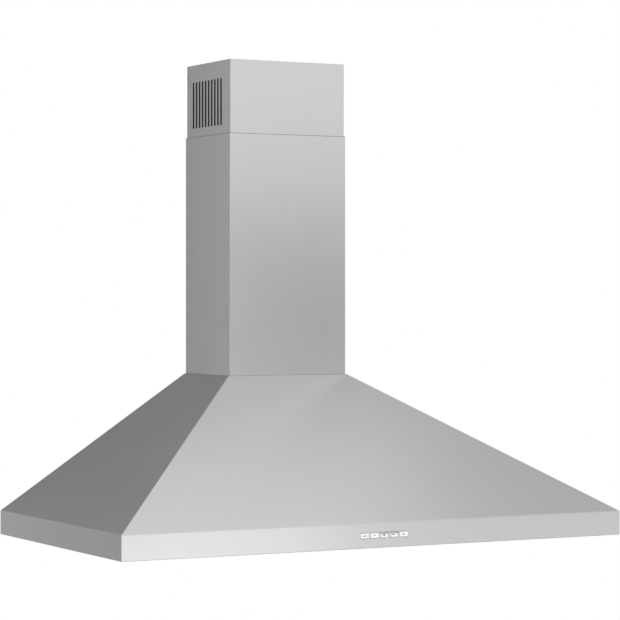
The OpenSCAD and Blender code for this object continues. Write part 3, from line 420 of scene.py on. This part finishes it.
slot_of = {row["node"]: row["material_slot"] for row in frame["record"]["subparts"]}
finish_of = {
    "canopy_shell": canopy_steel,
    "lower_chimney": chimney_steel,
    "upper_chimney": chimney_steel,
    "chimney_screws": plated("chimney screws", CHIMNEY_SCREW_TONE),
    # The bracket's black enamel is partly a real finish and partly painted shade: it is this dark so
    # that the inside of the chimney looks dark through the slots.
    "chimney_bracket": moulded(
        "dark enamel and painted shade", ENAMEL_AND_SHADE_TONE, grain_per_m=600, relief=0.00002, rough=(0.5, 0.6)
    ),
}
for side in SIDES:
    finish_of["filter_baffles_" + side] = baffle_steel


def clean_mesh(node):
    """The node's mesh with its vertices joined and its flat triangles made one face."""
    mesh = bmesh.new()
    mesh.from_mesh(frame["nodes"][node].data)
    bmesh.ops.remove_doubles(mesh, verts=mesh.verts, dist=WELD)
    bmesh.ops.dissolve_limit(mesh, angle_limit=FLAT_BELOW, verts=mesh.verts, edges=mesh.edges)
    mesh.normal_update()
    return mesh


def face_width(face):
    return face.calc_area() / max(edge.calc_length() for edge in face.edges)


def is_fold(edge, broad):
    """Whether the edge is an outer fold between two faces that are broad enough."""
    if len(edge.link_faces) != 2 or not edge.is_convex:
        return False
    between_broad = min(face_width(face) for face in edge.link_faces) > broad
    return between_broad and edge.calc_face_angle() > FOLD_ABOVE


def round_folds(mesh, radius, broad):
    edges = [edge for edge in mesh.edges if is_fold(edge, broad)]
    if edges:
        bmesh.ops.bevel(
            mesh,
            geom=edges,
            offset=radius,
            offset_type="OFFSET",
            segments=FOLD_SEGMENTS,
            profile=0.5,
            affect="EDGES",
            clamp_overlap=True,
        )


def shade(mesh, smooth_below):
    """Smooth faces, with sharp edges where two of them meet at more than an angle."""
    for face in mesh.faces:
        face.smooth = True
    for edge in mesh.edges:
        if len(edge.link_faces) == 2:
            edge.smooth = edge.calc_face_angle() < smooth_below


def folded(node, radius, *paints, broad=BROAD, paint_of=None, reshape=None):
    """A copy of the node with its outer folds rounded.

    paint_of gives the number of a face's paint. reshape can change the mesh after its folds are made.
    """
    mesh = clean_mesh(node)
    round_folds(mesh, radius, broad)
    if reshape:
        reshape(mesh)
    mesh.normal_update()
    shade(mesh, SMOOTH_BELOW)
    if paint_of:
        for face in mesh.faces:
            face.material_index = paint_of(face)
    piece = new_piece(node + "_skin", mesh)
    paint(piece, *paints)
    weighted = piece.modifiers.new("normals", "WEIGHTED_NORMAL")
    weighted.keep_sharp = True
    weighted.weight = 100
    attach(piece, body_of(node))
    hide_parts(node)
    return piece


def on_skin(place, low, high):
    """Whether a place is on the outer side of a cover of the given box."""
    near = SHEET / 2
    return place.x < low.x + near or place.x > high.x - near or place.y < low.y + near


OUTER_PAINT = 0
INNER_PAINT = 1
SHADE_PAINT = 2


def cover_paints(node):
    """Gives the number of the paint of each of a cover's faces: outer side, inner side, or painted shade
    on the lower cover's rim band and the slot walls.
    """
    inward_least = 0.2
    across_most = 0.5
    low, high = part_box(node)
    middle = Vector(((low.x + high.x) / 2, (low.y + high.y) / 2, 0))

    def at_slots(face, centre):
        between_ends = high.z - RIM_HEIGHT > centre.z > low.z + SHEET
        between_walls = low.y + SHEET < centre.y < high.y - SHEET
        cut = face_width(face) < CUT_EDGE_MOST and abs(face.normal.x) < across_most
        return between_ends and between_walls and cut

    def paint_of(face):
        centre = face.calc_center_median()
        away = Vector((centre.x, centre.y, 0)) - middle
        at_rim = node == "lower_chimney" and centre.z > high.z - RIM_HEIGHT
        # Painted shade: the rim band and the slot walls take the near-black paint
        if at_rim or at_slots(face, centre):
            return SHADE_PAINT
        if not on_skin(centre, low, high) and face.normal.dot(away) < -inward_least * away.length:
            return INNER_PAINT
        return OUTER_PAINT

    return paint_of


def drawn_in(mesh):
    """Draws the lower cover's top rim in a little on its outer side, as its hem is."""
    low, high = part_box("lower_chimney")
    whole = mesh.verts[:] + mesh.edges[:] + mesh.faces[:]
    level = Vector((0, 0, high.z - RIM_HEIGHT))
    bmesh.ops.bisect_plane(mesh, geom=whole, plane_co=level, plane_no=(0, 0, 1))
    for vertex in mesh.verts:
        place = vertex.co
        if place.z > high.z - WELD and on_skin(place, low, high):
            place.x *= 1 - RIM_INSET / high.x
            place.y *= 1 - RIM_INSET / -low.y


def flared(mesh):
    """Sets the walls of the vent slots back a little, as their shearing leaves them."""
    along_y_least = 0.9
    low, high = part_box("upper_chimney")
    shift = {}
    for face in mesh.faces:
        centre = face.calc_center_median()
        at_side = abs(centre.x) > high.x - SHEET and low.y + 2 * SHEET < centre.y < high.y - 2 * SHEET
        if at_side and abs(face.normal.y) > along_y_least and face_width(face) < CUT_EDGE_MOST:
            for vertex in face.verts:
                shift[vertex] = -SLOT_FLARE if face.normal.y > 0 else SLOT_FLARE
    for vertex, step in shift.items():
        vertex.co.y += step


def chimney_cover(node, shade_paint, reshape):
    folded(
        node, FOLD_R, chimney_steel, inner_steel, shade_paint, paint_of=cover_paints(node), reshape=reshape
    )


folded("canopy_shell", FOLD_R, canopy_steel)
chimney_cover("lower_chimney", rim_shade, drawn_in)
chimney_cover("upper_chimney", slot_shade, flared)
folded("liner_panel", FOLD_R, liner_steel)
for side in SIDES:
    folded("filter_frame_" + side, FRAME_FOLD_R, liner_steel)
for button in BUTTONS:
    folded(button + "_button", BUTTON_FOLD_R, cap_silver, broad=BUTTON_BROAD)
folded("switch_block", BLOCK_FOLD_R, materials["black_plastic"])
folded("led_driver", DRIVER_FOLD_R, materials["white_plastic"])
folded("junction_box", BOX_FOLD_R, materials["galvanised"])
folded("junction_cover", LID_FOLD_R, materials["galvanised"], broad=LID_BROAD)

for name, node in frame["nodes"].items():
    if not node.hide_render:
        paint(node, finish_of.get(name, materials[slot_of[name]]))


def joined(mesh, rings, closed):
    """Faces between rings of vertices with as many in each, one after the other."""
    count = len(rings[0])
    pairs = list(zip(rings, rings[1:]))
    if closed:
        pairs.append((rings[-1], rings[0]))
    for first, second in pairs:
        for k in range(count):
            following = (k + 1) % count
            mesh.faces.new((first[k], first[following], second[following], second[k]))


def ring_at(mesh, outline, y):
    return [mesh.verts.new((x, y, z)) for x, z in outline]


def prism(mesh, outline, low_y, high_y):
    """A prism between two depths, from an outline of x and z."""
    rings = [ring_at(mesh, outline, low_y), ring_at(mesh, outline, high_y)]
    mesh.faces.new(rings[0][::-1])
    mesh.faces.new(rings[1])
    joined(mesh, rings, closed=False)


def tube(mesh, outer, inner, low_y, high_y):
    """A tube between two depths, from two outlines of x and z with as many points."""
    steps = ((outer, low_y), (outer, high_y), (inner, high_y), (inner, low_y))
    joined(mesh, [ring_at(mesh, outline, y) for outline, y in steps], closed=True)


def rounded(centre, width, height, radius):
    """A rounded rectangle as a list of x and z."""
    points = []
    for quarter, (right, up) in enumerate(((1, 1), (-1, 1), (-1, -1), (1, -1))):
        x = centre.x + right * (width / 2 - radius)
        z = centre.z + up * (height / 2 - radius)
        for k in range(CORNER_STEPS + 1):
            turn = math.radians(90) * (quarter + k / CORNER_STEPS)
            points.append((x + radius * math.cos(turn), z + radius * math.sin(turn)))
    return points


def button_guides():
    """The plastic frame behind the skirt that guides the five caps."""
    mesh = bmesh.new()
    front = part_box("canopy_shell")[0].y + SHEET
    for button in BUTTONS:
        low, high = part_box(button + "_button")
        centre = (low + high) / 2
        width = high.x - low.x + 2 * BUTTON_GAP
        height = high.z - low.z + 2 * BUTTON_GAP
        corner = BUTTON_CORNER + BUTTON_GAP
        inner = rounded(centre, width, height, corner)
        outer = rounded(centre, width + 2 * GUIDE_SIDE, height + 2 * GUIDE_RIM, corner)
        tube(mesh, outer, inner, front, front + GUIDE_DEPTH)
    bmesh.ops.recalc_face_normals(mesh, faces=mesh.faces)
    piece = new_piece("button_guides", mesh)
    paint(piece, materials["white_plastic"])
    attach(piece, body_of("switch_block"))


def arc_band(centre_z, radius, width, share, squash=1.0):
    """A band along the given share of a circle, as a list of x and z."""
    points = []
    for reach, order in ((radius + width / 2, 1), (radius - width / 2, -1)):
        arc = [share * math.tau * k / ARC_STEPS for k in range(ARC_STEPS + 1)][::order]
        points += [(reach * math.cos(a), centre_z + squash * reach * math.sin(a)) for a in arc]
    return points


def bar(left, right, low, high):
    return [(left, low), (right, low), (right, high), (left, high)]


def lamp_sign():
    """A wide lamp shade over its rim, seen from the side."""
    shade_low = -0.0006
    shade_r = 0.0027
    stroke = 0.0008
    squash = 0.62
    rim_reach = 0.004
    rim_low = -0.0011
    rim_high = -0.0005
    half_circle = 0.5
    arc = arc_band(shade_low, shade_r, stroke, half_circle, squash)
    return [arc, bar(-rim_reach, rim_reach, rim_low, rim_high)]


def power_sign():
    """A short stroke beside a ring, for on and off."""
    ring_x = 0.0011
    ring_r = 0.0008
    ring_stroke = 0.0006
    nearly_whole = 0.999
    stroke_left = -0.0021
    stroke_right = -0.0013
    stroke_reach = 0.0011
    ring = [(x + ring_x, z) for x, z in arc_band(0, ring_r, ring_stroke, nearly_whole)]
    return [ring, bar(stroke_left, stroke_right, -stroke_reach, stroke_reach)]


def less_sign():
    """A triangle that points left."""
    length = 0.0056
    height = 0.0039
    return [[(-length / 2, 0), (length / 2, -height / 2), (length / 2, height / 2)]]


def middle_sign():
    """A level bar."""
    reach = 0.0032
    half_height = 0.0007
    return [bar(-reach, reach, -half_height, half_height)]


def more_sign():
    """A triangle that points right."""
    length = 0.0046
    height = 0.0029
    return [[(length / 2, 0), (-length / 2, -height / 2), (-length / 2, height / 2)]]


def sign(button, outlines):
    """A button's printed sign on its white face."""
    low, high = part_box(button + "_button_face")
    middle = (low + high) / 2
    mesh = bmesh.new()
    for outline in outlines:
        placed = [(middle.x + x, middle.z + z) for x, z in outline]
        prism(mesh, placed, low.y - PRINT_THICKNESS, low.y)
    bmesh.ops.recalc_face_normals(mesh, faces=mesh.faces)
    piece = new_piece(button + "_sign", mesh)
    paint(piece, print_grey)
    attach(piece, body_of(button + "_button_face"))


button_guides()
sign("lamp", lamp_sign())
sign("power", power_sign())
sign("low_speed", less_sign())
sign("middle_speed", middle_sign())
sign("high_speed", more_sign())


def hexagon_share(angle):
    """The radius of a hexagon at an angle, as a share of the radius of its corners."""
    sixth = math.radians(60)
    return math.cos(sixth / 2) / math.cos(angle % sixth - sixth / 2)


def screw_rings():
    """The rings of a wall screw: radius, reach from the wall, and whether it is in the socket."""
    rings = [(SHANK_R, 0.0, False), (SHANK_R, BRACKET_SHEET, False)]
    rings += [(radius, BRACKET_SHEET + reach, False) for radius, reach in HEAD_RINGS]
    rings += [(radius, BRACKET_SHEET + reach, True) for radius, reach in SOCKET_RINGS]
    return rings


def wall_screw(side, x):
    """A screw that holds the chimney's bracket on the wall: shank, domed head and hexagon socket."""
    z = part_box("upper_chimney")[1].z - BRACKET_HOLE_DROP
    mesh = bmesh.new()
    rings = []
    for radius, reach, in_socket in screw_rings():
        ring = []
        for k in range(SCREW_STEPS):
            angle = math.tau * k / SCREW_STEPS
            arm = radius * hexagon_share(angle) if in_socket else radius
            ring.append(mesh.verts.new((x + arm * math.cos(angle), -reach, z + arm * math.sin(angle))))
        rings.append(ring)
    joined(mesh, rings, closed=False)
    mesh.faces.new(rings[0])
    mesh.faces.new(rings[-1])
    bmesh.ops.recalc_face_normals(mesh, faces=mesh.faces)
    shade(mesh, SCREW_SMOOTH_BELOW)
    piece = new_piece("wall_screw_" + side, mesh)
    paint(piece, black_zinc)
    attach(piece, body_of("chimney_bracket"))


wall_screw("left", -BRACKET_HOLE_X)
wall_screw("right", BRACKET_HOLE_X)


def clear_from_behind(t):
    """Makes the tree's material see-through from the back of its faces."""
    geometry = t.add("ShaderNodeNewGeometry")
    see_through = t.add("ShaderNodeBsdfTransparent")
    either = t.add("ShaderNodeMixShader")
    t.link(geometry.outputs["Backfacing"], either.inputs["Fac"])
    t.link(t.shader.outputs["BSDF"], either.inputs[1])
    t.link(see_through.outputs["BSDF"], either.inputs[2])
    t.link(either.outputs["Shader"], t.surface)


FLOOR_Z = -1.7
FLOOR_R = 6.0
FLOOR_STEPS = 96
FLOOR_DARKEST = (0.8, 0.8, 0.8)
FLOOR_PALEST = (0.84, 0.84, 0.84)
FLOOR_ROUGH = (0.7, 0.85)
FLOOR_CLOUDS_PER_M = 2
FLOOR_GRAIN_PER_M = 30


def studio_floor():
    """The studio's pale floor, well below the hanging hood."""
    mesh = bmesh.new()
    bmesh.ops.create_circle(mesh, cap_ends=True, segments=FLOOR_STEPS, radius=FLOOR_R)
    piece = new_piece("floor", mesh)
    piece.location = (0, 0, FLOOR_Z)
    t = Tree("floor")
    pale = t.blend(t.spread(t.mottle(FLOOR_CLOUDS_PER_M)), FLOOR_DARKEST, FLOOR_PALEST)
    t.finish(pale, t.spread(t.mottle(FLOOR_GRAIN_PER_M), FLOOR_ROUGH))
    clear_from_behind(t)
    paint(piece, t.material)


# The planes that the cards lie in: the axis across a plane, and its place along that axis
LEFT_PLANE = (0, -2.4)
FRONT_PLANE = (1, -1.35)
REAR_PLANE = (1, 0.9)
TOP_PLANE = (2, 1.5)

# Ends that cards share
CARDS_LOW_Z = -1.4
CARDS_TOP_Z = 1.5
CARDS_LEFT_X = -2.4
LEFT_JOIN_Y = -0.9
REAR_JOIN_X = -0.8
MIDDLE_JOIN_X = -0.56

# The cards that the metal reflects: plane, ends along the plane's two axes, and level
CARDS = {
    "front_card": (FRONT_PLANE, (0.32, 1.4), (0.1, 0.58), 0.505),
    "upper_front_softbox": (FRONT_PLANE, (-0.2, 0.85), (0.72, 1.3), 1.05),
    "low_softbox": (FRONT_PLANE, (-0.25, 0.36), (-0.5, 0.0), 1.45),
    "left_softbox": (LEFT_PLANE, (-2.4, LEFT_JOIN_Y), (-0.5, 1.2), 1.6),
    "top_softbox": (TOP_PLANE, (0.14, 1.18), (-1.1, -0.25), 1.11),
    "rear_ceiling": (TOP_PLANE, (0.35, 2.2), (0.1, 1.2), 0.54),
    "right_ceiling": (TOP_PLANE, (0.95, 2.4), (-0.8, 0.1), 0.62),
    "rear_left_card": (REAR_PLANE, (CARDS_LEFT_X, REAR_JOIN_X), (CARDS_LOW_Z, CARDS_TOP_Z), 0.43),
    "rear_middle_card": (REAR_PLANE, (REAR_JOIN_X, MIDDLE_JOIN_X), (CARDS_LOW_Z, CARDS_TOP_Z), 0.65),
    "rear_card": (REAR_PLANE, (MIDDLE_JOIN_X, 1.2), (CARDS_LOW_Z, 1.4), 0.255),
    "left_card": (LEFT_PLANE, (LEFT_JOIN_Y, 0.9), (CARDS_LOW_Z, CARDS_TOP_Z), 0.42),
}


def rectangle(name, plane, first_ends, second_ends):
    """A flat rectangle in a plane, between its ends along the plane's two axes."""
    across, place = plane
    first, second = [axis for axis in range(3) if axis != across]
    mesh = bmesh.new()
    corners = []
    for far_first, far_second in ((0, 0), (1, 0), (1, 1), (0, 1)):
        corner = [place, place, place]
        corner[first] = first_ends[far_first]
        corner[second] = second_ends[far_second]
        corners.append(mesh.verts.new(corner))
    mesh.faces.new(corners)
    return new_piece(name, mesh)


def card(name, plane, first_ends, second_ends, level):
    """A studio card that shows only in reflections."""
    piece = rectangle(name, plane, first_ends, second_ends)
    t = Tree(name)
    glow = t.add("ShaderNodeEmission")
    glow.inputs["Color"].default_value = (1, 1, 1, 1)
    glow.inputs["Strength"].default_value = level
    t.link(glow.outputs["Emission"], t.surface)
    paint(piece, t.material)
    piece.visible_camera = False
    piece.visible_diffuse = False
    piece.visible_transmission = False
    piece.visible_shadow = False


studio_floor()
for name, values in CARDS.items():
    card(name, *values)

KEY_PLACE = Vector((-2.4, -2.7, 3.2))
KEY_AIM = Vector((0, -0.4, 0.2))
KEY_WIDTH = 1.2
KEY_WATTS = 226
WORLD_LEVEL = 0.28


def key_light():
    """A large soft lamp, which metal doesn't show as a spot."""
    lamp = bpy.data.lights.new("key_light", "AREA")
    lamp.size = KEY_WIDTH
    lamp.energy = KEY_WATTS
    key = bpy.data.objects.new("key_light", lamp)
    key.location = KEY_PLACE
    key.rotation_mode = "QUATERNION"
    key.rotation_quaternion = (KEY_PLACE - KEY_AIM).to_track_quat("Z", "Y")
    key.visible_glossy = False
    key.visible_camera = False
    bpy.context.scene.collection.objects.link(key)


def studio_world():
    """White for the camera and for reflections, and a plain soft light on everything else."""
    world = bpy.data.worlds.new("studio")
    bpy.context.scene.world = world
    world.use_nodes = True
    nodes = world.node_tree.nodes
    link = world.node_tree.links.new
    light = nodes["Background"]
    light.inputs["Color"].default_value = (1, 1, 1, 1)
    light.inputs["Strength"].default_value = WORLD_LEVEL
    white = nodes.new("ShaderNodeBackground")
    white.inputs["Color"].default_value = (1, 1, 1, 1)
    white.inputs["Strength"].default_value = 1.0
    rays = nodes.new("ShaderNodeLightPath")
    seen = rays.outputs["Is Camera Ray"]
    for kind in ("Is Glossy Ray", "Is Transmission Ray"):
        either = nodes.new("ShaderNodeMath")
        either.operation = "MAXIMUM"
        link(seen, either.inputs[0])
        link(rays.outputs[kind], either.inputs[1])
        seen = either.outputs["Value"]
    choice = nodes.new("ShaderNodeMixShader")
    link(seen, choice.inputs["Fac"])
    link(light.outputs["Background"], choice.inputs[1])
    link(white.outputs["Background"], choice.inputs[2])
    link(choice.outputs["Shader"], nodes["World Output"].inputs["Surface"])


def photo_camera():
    data = bpy.data.cameras.new("camera")
    data.sensor_width = SENSOR_MM
    data.lens = FOCAL_PX * SENSOR_MM / PHOTO_PX
    data.shift_y = (HORIZON_PX - PHOTO_PX / 2) / PHOTO_PX
    camera = bpy.data.objects.new("camera", data)
    camera.location = CAMERA_PLACE
    camera.rotation_euler = (math.radians(90), 0, -CAMERA_YAW)
    bpy.context.scene.collection.objects.link(camera)
    bpy.context.scene.camera = camera


key_light()
studio_world()
photo_camera()
bpy.context.scene.view_settings.view_transform = "Standard"
